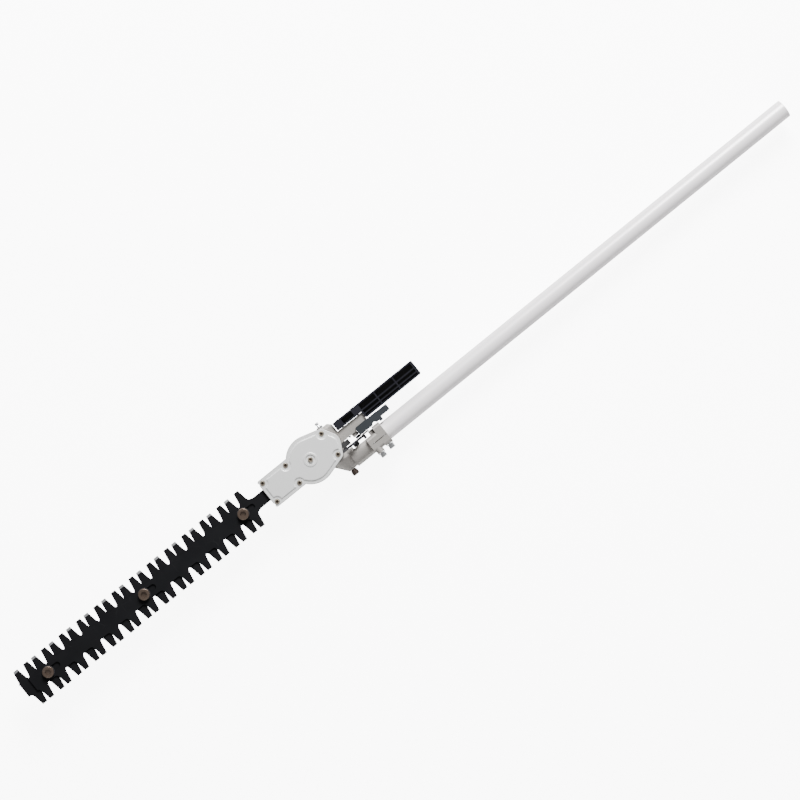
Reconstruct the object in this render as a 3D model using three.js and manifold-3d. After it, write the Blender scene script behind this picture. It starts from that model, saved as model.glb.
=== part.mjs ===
// Articulating hedge trimmer attachment: a long tube, an angle drive, a head that tilts and two
// toothed blades that slide against each other. Millimetres. While it is built, X = 0, Z = 0 is the
// tilt axis (which runs along Y), Y = 0 is the middle of the blades, and -X points to the blade tips.
import * as THREE from 'three';
import { mergeVertices } from 'three/addons/utils/BufferGeometryUtils.js';
import Module from 'manifold-3d';

const wasm = await Module();
wasm.setup();

// ---------- driving dimensions ----------
const gap = 0.3; // air left between pieces that touch
const cutThrough = 2; // how far a cutter runs past the face it opens
const coarse = 12; // sides of a small round
const medium = 16;
const fine = 24;

const tube = { outer: 13, inner: 11.2, end: 761, insertFrom: 47.6 };
const tubeY = -33.9; // the tube's axis, beside the blade line
const driveShaft = { radius: 4, from: 4.6, to: 745, square: 5.6, squareLength: 17 };
const bushPlaces = [190, 400, 610];
const bearing = { radius: 9.2, from: 10.8, to: 17.4 };
const bush = { length: 18, bore: driveShaft.radius + gap };

const bevel = { teeth: 12, radius: 8, face: 3.4, tooth: 1.0, hub: 2.2 };
const pinionBore = 2.6;
const pivotShaftRadius = 3.6;
const pivotShaftSeat = 2.4; // where the two wheels sit on it
const idlerRadius = 3.2;
const idlerBearingRadius = 7;
const idlerBushRadius = 6.6;

const spurModule = 1.775;
const crankTeeth = 28;
const idlerTeeth = 12;
const crankPitch = (spurModule * crankTeeth) / 2;
const idlerPitch = (spurModule * idlerTeeth) / 2;
const crankX = -(crankPitch + idlerPitch);
const spur = { from: 9, to: 16.2, tooth: 2.2, play: 0.34 };
const pitch = 30.4; // from tooth to tooth
const throwRadius = pitch / 4; // crank throw: half of each blade's stroke, which is half a pitch
const crankPin = { radius: 4.2, height: 3 };
const axleRadius = 2.6;

// levels along Z
const caseFloor = { outer: 0.5, inner: 3.2 };
const guideScrewPlaces = [-104.6];
const guideScrewShank = 2.1;
const guideScrewHead = { radius: 3.8, height: 2.6, sunk: 0.2, socket: 1.7, socketDepth: 1.4 };
const guideBar = { bottom: 10.1, top: 14.1, width: 17.6, from: -97.6, to: -514 };
const bladeThick = 2.2;
const lowerBladeZ = guideBar.top + gap;
const upperBladeZ = lowerBladeZ + bladeThick + gap;
const bladeHeadroom = 0.5; // air between the upper blade and the case's rim
const caseTop = upperBladeZ + bladeThick + bladeHeadroom;
const gasket = { thick: 0.5 };
const coverZ = caseTop + gasket.thick + 2 * gap;
const cover = { rim: 3.6, panel: 2.0, inset: 5.2 };
const rodLow = { z: 5.9, thick: 2.3 };
const rodHigh = { z: 11.8, thick: 2.3 };

// the gear case's outline, seen along Z
const neck = { from: -111.4, half: 21.8, corner: 3 };
const drum = 33.5; // radius of the round part over the crank gear
const shoulder = { x: -2.3, y: 17.4, radius: 7.6 };
const nose = 13.6;
const caseWall = 3.2;
const screwPlaces = [
  [-105.7, 15.7],
  [-66.6, 15.1],
  [-2.3, 17.9],
  [-105.7, -15.7],
  [-66.6, -15.1],
  [-2.3, -17.9],
];
const coverScrew = { head: 3.3, shank: 1.9, seat: 1.3, depth: 14, shortDepth: 2.2, socket: 1.7 };
const screwBoss = 5;

// tilt joint
const barrel = { radius: 16, top: 24, bottom: -17.2, chamfer: 5 };
const trunnion = { outer: 12.6, inner: 9.9, bottom: -24.2 };
const clip = { groove: 11.7, outer: 14.6, y: -23.6, thick: 1.1 };
const hub = { radius: 19.5, top: -21.7, coneFrom: -27.5, coneTo: -46.2, tip: 5.2 };
const plate = { radius: 37.9, ring: 16.4, halfAngle: 58, thick: 3.3, notch: 4.2, notchHalf: 1.9 };
const swept = { radius: 28.2, angle: 22.5 }; // the plate is open here, where the cover swings past
const plateBottom = hub.top + gap;
const plateTop = plateBottom + plate.thick;
const notchStep = 15;
const notchCount = 7;
const boot = { outer: 20.3, bottom: -17.3, top: -9.3, upTo: 13.6 };
const indexBolt = { x: 25, z: 8, head: 4, collar: 5, shank: 2.5, depth: 6.4 };

// tube socket
const socket = { radius: 14.3, flat: -25.6, flatTo: 47.3, collarFrom: 55.1, collarTo: 66.6 };
const collar = { radius: 16.2, lugZ: 21, corner: 5 };
const pinchZ = 16.9;
const pinchBolts = [
  { name: 'clamp_bolt_inner', x: 45, seat: -52.5, tip: -29 },
  { name: 'clamp_bolt_outer', x: 60.9, seat: -50.2, tip: -24 },
];
const pinch = { head: 4.2, headHeight: 5.6, washer: 5, washerHeight: 1.3, shank: 2.5 };

// arm, handle and latch
const arm = { from: 4, to: 57.3, top: 6.6, bottom: -8.8, half: 7.7 };
const armWeb = { from: 6, foot: 10, footBottom: -15.5, to: 20.6 };
const anchor = { from: 28, bottom: -14, half: 5 }; // the spring's end stop, under the arm
const handle = { from: 17, to: 153.4, top: 19.2, rootBottom: 7, bottom: -3.4, half: 12, wall: 2.4 };
const handleRibs = [87, 119];
const handleScrews = [25.5, 51.5];
const latch = { from: 36.8, to: 74.6, top: -4.6, bottom: -16.9, half: 11.4 };
const latchNose = { from: 29.8, top: -14.3, bottom: -17.8, half: 5 }; // reaches over the plate
const latchFoot = { from: 69.8, bottom: -19.2 };
const latchTab = { to: 90.2, top: -5, bottom: -14.2, round: 2 };
const latchArch = { x: 61.6, y: -18.1, radius: 3.9 }; // the finger's place under the latch
const latchTravel = 5;
const pawl = { tip: 33.9, inner: 38.5, outer: 41.9, bottom: -25, half: 6, webTo: 49.5, webBottom: -19.3 };
const spring = { y: -11, radius: 2.2, wire: 0.6, from: 27.4, to: 46, coils: 9 };
const springPin = { x: 24.4, radius: 1.5 };

// blades
const toothCount = 13;
const tooth = { tip: 3.5, slope: 0.18, height: 29.45, spine: 10.15, fillet: 3.6 };
const tipTooth = -506.9;
const firstTooth = { upper: tipTooth, lower: tipTooth - pitch / 2 }; // the rows sit half a pitch apart
const lowerStagger = 2.5; // the lower blade's two rows are set apart along X
const bladeEnd = 9.9;
const tangHalf = 9;
const yoke = { wall: 3.2, window: throwRadius + crankPin.radius + 0.4 };
const bladeBolts = [-489.8, -323.9, -152.2];
const bladeBolt = { collar: 4, head: 7.9, headHeight: 4.2, socket: 4.4, shank: 2.6, washer: 8.6 };
const slotHalf = bladeBolt.collar + gap;
const rivets = [-90, -83.5];
const rivetRadius = 2.3;

// ---------- helpers ----------
function toSolid(geometry) {
  const bare = new THREE.BufferGeometry();
  bare.setAttribute('position', geometry.getAttribute('position'));
  if (geometry.index) bare.setIndex(geometry.index);
  const welded = mergeVertices(bare, 1e-4);
  const solid = new wasm.Manifold(
    new wasm.Mesh({
      numProp: 3,
      vertProperties: new Float32Array(welded.getAttribute('position').array),
      triVerts: new Uint32Array(welded.index.array),
    }),
  );
  return solid;
}

function toGeometry(solid) {
  const mesh = solid.getMesh();
  const geometry = new THREE.BufferGeometry();
  geometry.setAttribute('position', new THREE.BufferAttribute(mesh.vertProperties, 3));
  geometry.setIndex(new THREE.BufferAttribute(mesh.triVerts, 1));
  const flat = geometry.toNonIndexed();
  flat.computeVertexNormals();
  return flat;
}

const join = (...solids) => wasm.Manifold.union(solids);
const cut = (solid, ...cutters) => solid.subtract(join(...cutters));

// turns a geometry made round the Y axis so that its axis lies along X or Z
function lay(geometry, axis) {
  if (axis === 'x') geometry.rotateZ(-Math.PI / 2);
  if (axis === 'z') geometry.rotateX(Math.PI / 2);
  return geometry;
}

// a cylinder or cone along an axis, between two places on it; `at` holds the other coordinates
function rod(axis, radius, from, to, at = {}, segments = medium, radiusTo = radius) {
  const geometry = new THREE.CylinderGeometry(radiusTo, radius, to - from, segments);
  lay(geometry, axis);
  const middle = { x: 0, y: 0, z: 0, ...at };
  middle[axis] = (from + to) / 2;
  geometry.translate(middle.x, middle.y, middle.z);
  return toSolid(geometry);
}

function ring(axis, outer, inner, from, to, at = {}, segments = medium) {
  const bore = rod(axis, inner, from - cutThrough, to + cutThrough, at, segments);
  return cut(rod(axis, outer, from, to, at, segments), bore);
}

function box(x0, x1, y0, y1, z0, z1) {
  const geometry = new THREE.BoxGeometry(x1 - x0, y1 - y0, z1 - z0);
  geometry.translate((x0 + x1) / 2, (y0 + y1) / 2, (z0 + z1) / 2);
  return toSolid(geometry);
}

// a flat shape in X and Y, raised from z0 to z1
function slab(shape, z0, z1, curveSegments = 5) {
  const geometry = new THREE.ExtrudeGeometry(shape, {
    depth: z1 - z0,
    bevelEnabled: false,
    curveSegments,
  });
  geometry.translate(0, 0, z0);
  return toSolid(geometry);
}

// turned round the Y axis; the points run from the lower end to the upper one
function turned(points, segments = medium) {
  const profile = points.map(([r, y]) => new THREE.Vector2(r, y));
  return toSolid(new THREE.LatheGeometry(profile, segments));
}

function roundedShape(x0, x1, y0, y1, r) {
  const shape = new THREE.Shape();
  shape.moveTo(x0 + r, y0);
  shape.lineTo(x1 - r, y0);
  shape.absarc(x1 - r, y0 + r, r, -Math.PI / 2, 0, false);
  shape.lineTo(x1, y1 - r);
  shape.absarc(x1 - r, y1 - r, r, 0, Math.PI / 2, false);
  shape.lineTo(x0 + r, y1);
  shape.absarc(x0 + r, y1 - r, r, Math.PI / 2, Math.PI, false);
  shape.lineTo(x0, y0 + r);
  shape.absarc(x0 + r, y0 + r, r, Math.PI, 1.5 * Math.PI, false);
  return shape;
}

function stadium(x0, x1, half, z0, z1, segments = medium) {
  return join(
    box(x0 + half, x1 - half, -half, half, z0, z1),
    rod('z', half, z0, z1, { x: x0 + half }, segments),
    rod('z', half, z0, z1, { x: x1 - half }, segments),
  );
}

// the gear case's outline as a solid, `inset` inside its edge
function caseOutline(inset, z0, z1) {
  const neckPart = roundedShape(
    neck.from + inset,
    crankX,
    -(neck.half - inset),
    neck.half - inset,
    Math.max(neck.corner - inset / 2, 0.8),
  );
  const round = (x, y, r) => rod('z', r - inset, z0, z1, { x, y }, fine);
  const lobe = wasm.Manifold.hull([
    round(crankX, 0, drum),
    round(shoulder.x, shoulder.y, shoulder.radius),
    round(shoulder.x, -shoulder.y, shoulder.radius),
    round(0, 0, nose),
  ]);
  return join(slab(neckPart, z0, z1), lobe);
}

// joins a screw's boss to the wall beside it
function screwWeb(x, y, z0, z1) {
  const wallY = Math.sign(y) * 20;
  return box(x - 3, x + 3, wallY - 4, wallY + 4, z0, z1);
}

function make(name, solid, color, roughness = 0.5, metalness = 0.8) {
  const material = new THREE.MeshStandardMaterial({ color, roughness, metalness });
  const mesh = new THREE.Mesh(toGeometry(solid), material);
  mesh.name = name;
  return mesh;
}

const colours = {
  castGrey: 0xb3afa9,
  coverSilver: 0xd8dad8,
  tubeWhite: 0xe9e7e6,
  blackSteel: 0x2a2a2d,
  bladeBlack: 0x1d1d20,
  bronze: 0x6e4f36,
  zinc: 0xc9ccd0,
  steel: 0x9a9ca0,
  blackPlastic: 0x121316,
  slate: 0x2b2f34,
  rubber: 0x161616,
  gasketGrey: 0x4b4d50,
  brass: 0xb08d4f,
};

// ---------- gears ----------
// a straight-toothed wheel about Z; tooth tips are narrower than roots, and `play` thins each tooth
function toothedShape(count, pitchRadius, height, play) {
  const shape = new THREE.Shape();
  const step = (2 * Math.PI) / count;
  const rootRadius = pitchRadius - height / 2 - play;
  const tipRadius = pitchRadius + height / 2 - play;
  const rootHalf = step * 0.34 - play / pitchRadius;
  const tipHalf = step * 0.13 - play / pitchRadius / 2;
  for (let i = 0; i < count; i += 1) {
    const corners = [
      [rootRadius, -rootHalf],
      [tipRadius, -tipHalf],
      [tipRadius, tipHalf],
      [rootRadius, rootHalf],
    ];
    corners.forEach(([r, offset], k) => {
      const x = r * Math.cos(i * step + offset);
      const y = r * Math.sin(i * step + offset);
      if (i === 0 && k === 0) shape.moveTo(x, y);
      else shape.lineTo(x, y);
    });
  }
  shape.closePath();
  return shape;
}

// a bevel wheel on the Y axis whose cone's tip is the origin: its small end faces +Y
function bevelWheel(boreRadius, turnHalfTooth) {
  const count = bevel.teeth;
  const shape = toothedShape(count, bevel.radius - bevel.tooth, bevel.tooth, 0);
  const geometry = new THREE.ExtrudeGeometry(shape, { depth: bevel.face, bevelEnabled: false });
  const place = geometry.getAttribute('position');
  for (let i = 0; i < place.count; i += 1) {
    const shrink = 1 - place.getZ(i) / bevel.radius;
    place.setXY(i, place.getX(i) * shrink, place.getY(i) * shrink);
  }
  if (turnHalfTooth) geometry.rotateZ(Math.PI / count);
  geometry.rotateX(-Math.PI / 2);
  geometry.translate(0, -bevel.radius, 0);
  const backHub = rod('y', bevel.radius - 2.6, -bevel.radius - bevel.hub, -bevel.radius + 0.2);
  const bore = rod('y', boreRadius, -bevel.radius * 2, 0);
  return cut(join(toSolid(geometry), backHub), bore);
}

// ---------- root side: tube, case, plate ----------
function shaftTube() {
  const solid = ring('x', tube.outer, tube.inner, tube.insertFrom, tube.end, { y: tubeY }, fine);
  return make('shaft_tube', solid, colours.tubeWhite, 0.3, 0.6);
}

function shaftBush(index) {
  const outer = tube.inner - gap;
  const solid = ring('x', outer, bush.bore, -bush.length / 2, bush.length / 2, {}, 16);
  const mesh = make(`shaft_bush_${index + 1}`, solid, colours.rubber, 0.8, 0);
  mesh.position.set(bushPlaces[index], tubeY, 0);
  return mesh;
}

function shaftCase() {
  const atTube = { y: tubeY };
  const bottom = tubeY - socket.radius;
  const hubBody = turned([
    [0, hub.coneTo],
    [hub.tip, hub.coneTo],
    [hub.radius, hub.coneFrom],
    [hub.radius, hub.top],
    [0, hub.top],
  ]);
  const sleeve = rod('x', socket.radius, 9, socket.collarFrom + 0.5, atTube, fine);
  const neckTube = rod('x', 12.2, 0, 12, atTube, medium);
  const ringEnd = rod('x', collar.radius, socket.collarFrom, socket.collarTo, atTube, fine);
  // lugs on the +Z side, drawn across the tube and extruded along it
  const lug = (x0, x1, y0, y1) => {
    const shape = roundedShape(-collar.lugZ, 0, y0, y1, collar.corner);
    const geometry = new THREE.ExtrudeGeometry(shape, {
      depth: x1 - x0,
      bevelEnabled: false,
      curveSegments: 4,
    });
    geometry.rotateY(Math.PI / 2);
    geometry.translate(x0, 0, 0);
    return toSolid(geometry);
  };
  const innerLug = lug(38.6, socket.collarFrom + 0.5, bottom, socket.flat);
  const collarLow = tubeY - collar.radius;
  const outerLug = lug(socket.collarFrom, socket.collarTo, collarLow, tubeY + collar.radius);
  const bossAt = { x: pinchBolts[0].x, z: pinchZ - 1 };
  const boltBoss = rod('y', 5.4, pinchBolts[0].seat, bottom + 6, bossAt);
  const pinchHole = ({ x, seat, tip }) => {
    return rod('y', pinch.shank + gap, seat - cutThrough, tip + 1, { x, z: pinchZ });
  };
  const plateBoltHole = (side) => {
    const at = { x: indexBolt.x, z: side * indexBolt.z };
    return rod('y', indexBolt.shank + gap, socket.flat - indexBolt.depth - gap, 0, at, coarse);
  };
  const flat = box(18, socket.flatTo, socket.flat, 0, -40, 40);
  const clearHub = rod('y', hub.radius + 0.6, hub.top, 0, {}, fine);
  const cutters = [
    rod('x', tube.outer + gap, tube.insertFrom - gap, socket.collarTo + cutThrough, atTube, fine),
    rod('x', driveShaft.radius + 0.7, 17, tube.insertFrom, atTube),
    rod('x', bearing.radius + gap, bearing.from - gap, bearing.to + gap, atTube),
    rod('x', bevel.radius + 1.2, 0, 11, atTube),
    rod('y', bevel.radius + 2.6, tubeY + 2, hub.top, {}),
    rod('y', trunnion.outer + 2.4, clip.y - 0.8, hub.top + cutThrough, {}),
    rod('y', 3.3, hub.coneTo - cutThrough, tubeY, {}, coarse),
    box(43.3, socket.collarTo + cutThrough, tubeY - 3.6, tubeY - 2.6, 5, collar.lugZ + cutThrough),
    ...pinchBolts.map(pinchHole),
    ...[-1, 1].map(plateBoltHole),
  ];
  const body = cut(join(hubBody, sleeve, neckTube, innerLug), flat, clearHub);
  const solid = cut(join(body, ringEnd, outerLug, boltBoss), ...cutters);
  return make('shaft_case', solid, colours.castGrey, 0.45, 0.75);
}

function caseBearing() {
  const bore = driveShaft.radius + gap;
  const solid = ring('x', bearing.radius, bore, bearing.from, bearing.to, { y: tubeY });
  return make('drive_bearing', solid, colours.steel, 0.3, 0.9);
}

function casePlug() {
  const solid = join(
    turned([
      [0, -55],
      [3.4, -55],
      [4.9, -54],
      [4.9, -48.4],
      [4.1, -48.4],
      [4.1, hub.coneTo - gap],
      [0, hub.coneTo - gap],
    ], 12),
    rod('y', 2.9, hub.coneTo - gap - 0.1, hub.coneTo + 3.4, {}, coarse),
  );
  const socketHole = rod('y', 2.4, -57, -51.5, {}, 6);
  return make('case_plug', cut(solid, socketHole), 0x2f2623, 0.4, 0.8);
}

function pinchBolt({ name, x, seat, tip }) {
  const solid = cut(
    join(
      rod('y', pinch.head, seat - gap - pinch.washerHeight - pinch.headHeight, seat - gap, {}, 18),
      rod('y', pinch.washer, seat - gap - pinch.washerHeight, seat - gap, {}, 18),
      rod('y', pinch.shank, seat - gap - 0.1, tip, {}, 12),
    ),
    rod('y', 2.3, seat - 12, seat - 3.6, {}, 6),
  );
  const mesh = make(name, solid, colours.zinc, 0.3, 0.9);
  mesh.position.set(x, 0, pinchZ);
  return mesh;
}

function indexPlate() {
  const y0 = plateBottom;
  const y1 = plateTop;
  const half = THREE.MathUtils.degToRad(plate.halfAngle);
  const blend = half + 0.35; // where the sector's edge runs into the ring
  const shape = new THREE.Shape();
  shape.absarc(0, 0, plate.radius, -half, half, false);
  shape.lineTo(plate.ring * Math.cos(blend), plate.ring * Math.sin(blend));
  shape.absarc(0, 0, plate.ring, blend, 2 * Math.PI - blend, false);
  shape.closePath();
  // drawn in X and Y, then turned so that it lies across the tilt axis
  const flat = slab(shape, y0, y1, 20).rotate([90, 0, 0]).mirror([0, 1, 0]);
  const notches = [];
  for (let i = 0; i < notchCount; i += 1) {
    const angle = (i - (notchCount - 1) / 2) * notchStep;
    const floor = plate.radius - plate.notch;
    const rim = plate.radius + cutThrough;
    const notch = box(floor, rim, y0 - 1, y1 + 1, -plate.notchHalf, plate.notchHalf);
    notches.push(notch.rotate([0, -angle, 0]));
  }
  const bolts = [-1, 1].map((side) =>
    rod('y', indexBolt.head + gap, y0 - 1, y1 + 1, { x: indexBolt.x, z: side * indexBolt.z }, 16),
  );
  const bore = rod('y', trunnion.outer + gap, y0 - 1, y1 + 1, {}, fine);
  // open where the cover's lobe swings past
  const sweep = ring('y', swept.radius, plate.ring + 0.2, y0 - 1, y1 + 1, {}, fine);
  const wedge = slab(wedgeShape(swept.angle, 110, plate.radius * 2), y0 - 2, y1 + 2);
  const opening = sweep.intersect(wedge.rotate([90, 0, 0]).mirror([0, 1, 0]));
  const solid = cut(flat, bore, opening, ...notches, ...bolts);
  return make('index_plate', solid, colours.blackSteel, 0.45, 0.7);
}

// a slice of a disc between two angles in degrees
function wedgeShape(from, to, radius) {
  const shape = new THREE.Shape();
  const [start, stop] = [from, to].map(THREE.MathUtils.degToRad);
  shape.moveTo(0, 0);
  shape.lineTo(radius * Math.cos(start), radius * Math.sin(start));
  shape.absarc(0, 0, radius, start, stop, false);
  shape.closePath();
  return shape;
}

function indexPlateBolt(index) {
  const solid = join(
    rod('y', indexBolt.head, plateBottom - 0.5, plateTop - 0.2, {}, 16),
    rod('y', indexBolt.collar, socket.flat + gap, plateBottom - gap, {}, 6),
    rod('y', indexBolt.shank, socket.flat - indexBolt.depth, socket.flat + gap + 0.1, {}, 12),
  );
  const mesh = make(`index_plate_bolt_${index + 1}`, solid, colours.blackSteel, 0.4, 0.8);
  mesh.position.set(indexBolt.x, 0, index === 0 ? indexBolt.z : -indexBolt.z);
  return mesh;
}

// ---------- drive train ----------
function driveShaftBar() {
  const squareFrom = driveShaft.to - driveShaft.squareLength;
  const round = rod('x', driveShaft.radius, driveShaft.from + 8, squareFrom, {}, 16);
  const pinionSeat = rod('x', pinionBore, driveShaft.from, driveShaft.from + 8.1, {}, 12);
  const s = driveShaft.square / 2;
  const square = box(squareFrom - 0.1, driveShaft.to, -s, s, -s, s);
  const mesh = make('drive_shaft', join(round, pinionSeat, square), colours.steel, 0.35, 0.9);
  mesh.position.set(0, tubeY, 0);
  return mesh;
}

function drivePinion() {
  const mesh = make('drive_pinion', bevelWheel(pinionBore + gap, false), colours.steel, 0.35, 0.9);
  mesh.rotation.z = Math.PI / 2;
  mesh.position.set(0, tubeY, 0);
  return mesh;
}

const wheelBack = bevel.radius + bevel.hub + gap;

function pivotShaft() {
  const solid = join(
    rod('y', pivotShaftRadius, tubeY + wheelBack, -wheelBack, {}, 16),
    rod('y', pivotShaftSeat, tubeY + 4.7, tubeY + wheelBack + 0.1, {}, 12),
    rod('y', pivotShaftSeat, -wheelBack - 0.1, -4.7, {}, 12),
  );
  return make('pivot_shaft', solid, colours.steel, 0.35, 0.9);
}

function pivotGearLower() {
  const mesh = make('pivot_gear_lower', bevelWheel(pivotShaftSeat + gap, true), colours.steel, 0.35, 0.9);
  mesh.rotation.z = Math.PI;
  mesh.position.y = tubeY;
  return mesh;
}

function pivotGearUpper() {
  return make('pivot_gear_upper', bevelWheel(pivotShaftSeat + gap, false), colours.steel, 0.35, 0.9);
}

function pivotBearing() {
  const solid = ring('y', trunnion.inner - gap, pivotShaftRadius + gap, -22.6, -14, {});
  return make('pivot_bearing', solid, colours.steel, 0.3, 0.9);
}

function idlerShaft() {
  const solid = join(
    rod('z', idlerRadius, -bevel.radius - 6.6, coverZ + cover.rim - 0.1, {}, 16),
    rod('z', 5.6, spur.from - 0.4, spur.from + 0.1, {}, 16),
    slab(toothedShape(idlerTeeth, idlerPitch, spur.tooth, spur.play), spur.from, spur.to),
  );
  return make('idler_shaft', solid, colours.steel, 0.35, 0.9);
}

function idlerBevel() {
  const mesh = make('idler_bevel', bevelWheel(idlerRadius + gap, true), colours.steel, 0.35, 0.9);
  mesh.rotation.x = Math.PI / 2;
  return mesh;
}

function crankGear() {
  const shape = toothedShape(crankTeeth, crankPitch, spur.tooth, spur.play);
  const wheel = slab(shape, spur.from, spur.to).rotate([0, 0, 180 / crankTeeth]);
  const pins = join(
    rod('z', crankPin.radius, spur.to - 0.5, spur.to + crankPin.height, { x: throwRadius }, 18),
    rod('z', crankPin.radius, spur.from - crankPin.height, spur.from + 0.5, { x: -throwRadius }, 18),
  );
  const bore = rod('z', axleRadius + gap, 0, 30, {}, 16);
  const lightening = [90, 270].map((angle) => {
    return rod('z', 5, 0, 30, { x: 15 }, 12).rotate([0, 0, angle]);
  });
  const solid = cut(join(wheel, pins), bore, ...lightening);
  const mesh = make('crank_gear', solid, colours.steel, 0.35, 0.9);
  mesh.position.x = crankX;
  return mesh;
}

// ---------- head ----------
function headCase() {
  const shell = caseOutline(0.6, caseFloor.outer, caseTop);
  const body = turned([
    [0, barrel.bottom],
    [barrel.radius, barrel.bottom],
    [barrel.radius, barrel.top - barrel.chamfer],
    [barrel.radius - barrel.chamfer, barrel.top],
    [0, barrel.top],
  ], fine).rotate([0, 180 / fine, 0]); // a flat facet meets the case's back, so nothing bulges past it
  const sleeve = rod('y', trunnion.outer, trunnion.bottom, barrel.bottom + 0.5, {}, fine);
  const armBar = box(arm.from, arm.to, arm.bottom, arm.top, -arm.half, arm.half);
  const webShape = new THREE.Shape();
  webShape.moveTo(armWeb.from, arm.top);
  webShape.lineTo(armWeb.from, armWeb.footBottom);
  webShape.lineTo(armWeb.foot, armWeb.footBottom);
  webShape.lineTo(armWeb.to, arm.bottom + 0.1);
  webShape.lineTo(armWeb.to, arm.top);
  webShape.closePath();
  const anchorEnd = latch.from - 0.8;
  const stop = box(anchor.from, anchorEnd, anchor.bottom, arm.bottom + 0.5, -anchor.half, anchor.half);

  const chamber = cut(
    caseOutline(0.6 + caseWall, caseFloor.inner, caseTop + cutThrough),
    ...screwPlaces.map(([x, y]) => rod('z', screwBoss, 0, 30, { x, y }, 16)),
    ...screwPlaces.map(([x, y]) => screwWeb(x, y, 0, 30)),
    box(neck.from, guideBar.from - 1, -30, 30, 0, guideBar.bottom - gap),
  );
  const mouthHalf = guideBar.width / 2 + gap;
  const sinkTop = caseFloor.outer + guideScrewHead.sunk + guideScrewHead.height + gap;
  const screwBore = coverScrew.shank + gap;
  const cutters = [
    chamber,
    box(neck.from - 5, neck.from + 12, -mouthHalf, mouthHalf, guideBar.bottom - gap, 30),
    rod('z', bevel.radius + 1.6, -bevel.radius - 2.6, 10),
    rod('z', idlerBearingRadius + gap, -bevel.radius - 6.9, 0),
    rod('y', bevel.radius + 1.4, -13.4, 0, {}),
    rod('y', trunnion.inner, -40, -13, {}),
    rod('z', axleRadius + gap, -5, 10, { x: crankX }, 16),
    rod('y', 2.9, 15, barrel.top + 5, {}, 12),
    rod('z', idlerPitch + spur.tooth / 2 + gap, spur.from - 2, 30),
    rod('y', 5.9, barrel.top, 40, {}, 16),
    ...screwPlaces.map(([x, y]) => rod('z', screwBore, screwTip(x, y) - gap, 30, { x, y }, 12)),
    ...guideScrewPlaces.map((x) => rod('z', guideScrewShank + gap, -5, 20, { x }, 12)),
    ...guideScrewPlaces.map((x) => rod('z', guideScrewHead.radius + gap, -5, sinkTop, { x }, 14)),
    ...handleScrews.map((x) => rod('y', 1.9 + gap, arm.top - 10, arm.top + 5, { x }, 12)),
    rod('x', spring.radius + 0.8, springPin.x, arm.to - 2, { y: spring.y }, 12),
    box(springPin.x - 3.2, 28.4, spring.y - 4, arm.bottom + 1.6, -3.4, 3.4),
    rod('z', springPin.radius + gap, -12, 12, { x: springPin.x, y: spring.y + 1.6 }, 10),
  ];
  // relief for the fixed hub and plate, which the head sweeps past
  const reliefs = [
    ring('y', 60, trunnion.outer, plateBottom - 0.4, barrel.bottom, {}, fine).intersect(
      rod('y', plate.ring + 0.5, -60, 0, {}, fine),
    ),
    ring('y', hub.radius + 0.6, trunnion.outer, -60, plateBottom - 0.3, {}, fine),
    rod('y', 60, -60, trunnion.bottom, {}).intersect(rod('y', hub.radius + 0.6, -60, 0, {}, fine)),
  ];
  const clipGroove = ring('y', 20, clip.groove, clip.y, clip.y + clip.thick + 2 * gap, {}, fine);
  const web = slab(webShape, -arm.half, arm.half);
  const whole = cut(join(shell, body, armBar, web, stop), ...reliefs);
  const grooved = cut(join(whole, sleeve), clipGroove.intersect(rod('y', 15, -26, -21.9, {}, fine)));
  const bootBore = barrel.radius - 0.8;
  const bootRing = ring('y', boot.outer + 8, bootBore, boot.bottom - 1, boot.top + gap, {}, fine);
  const bootSeat = bootRing.intersect(box(-8, 40, -40, 0, -30, boot.upTo + gap));
  const solid = cut(grooved, bootSeat, ...cutters);
  return make('head_case', solid, colours.castGrey, 0.45, 0.75);
}

// the screw over the fixed hub is a short one
function screwTip(x, y) {
  const overHub = x > crankX && y < 0;
  return caseTop - (overHub ? coverScrew.shortDepth : coverScrew.depth);
}

function headCover() {
  const top = coverZ + cover.rim;
  const plateBody = caseOutline(0, coverZ, top);
  const raised = cut(
    caseOutline(cover.inset, top - 0.5, top + cover.panel),
    ...screwPlaces.map(([x, y]) => rod('z', 7, 0, 60, { x, y }, 18)),
  );
  const boss = rod('z', 9.6, top, top + cover.panel + 0.9, { x: crankX }, medium);
  const headBore = coverScrew.head + gap;
  const cutters = [
    ...screwPlaces.map(([x, y]) => rod('z', coverScrew.shank + gap, 0, 60, { x, y }, 12)),
    ...screwPlaces.map(([x, y]) => rod('z', headBore, top - coverScrew.seat, 60, { x, y }, 16)),
    rod('z', 6.8, top + 1.4, 60, { x: crankX }),
    rod('z', 2 + gap, 0, 60, { x: crankX }, 12),
    rod('z', idlerBushRadius + gap, 0, top + 0.4, {}, 18),
    box(neck.from - 3, neck.from + 1.2, 15.2, 18.4, 0, 60),
    box(neck.from - 3, neck.from + 1.2, -18.4, -15.2, 0, 60),
  ];
  const solid = cut(join(plateBody, raised, boss), ...cutters);
  return make('head_cover', solid, colours.coverSilver, 0.35, 0.8);
}

function coverGasket() {
  const z0 = caseTop + gap;
  const outer = caseOutline(0.9, z0, z0 + gasket.thick);
  const inner = cut(
    caseOutline(caseWall, 0, 60),
    ...screwPlaces.map(([x, y]) => rod('z', screwBoss, 0, 60, { x, y }, 16)),
    ...screwPlaces.map(([x, y]) => screwWeb(x, y, 0, 60)),
  );
  const holes = screwPlaces.map(([x, y]) => rod('z', coverScrew.shank + gap, 0, 60, { x, y }, 12));
  return make('cover_gasket', cut(outer, inner, ...holes), colours.gasketGrey, 0.9, 0);
}

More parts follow.
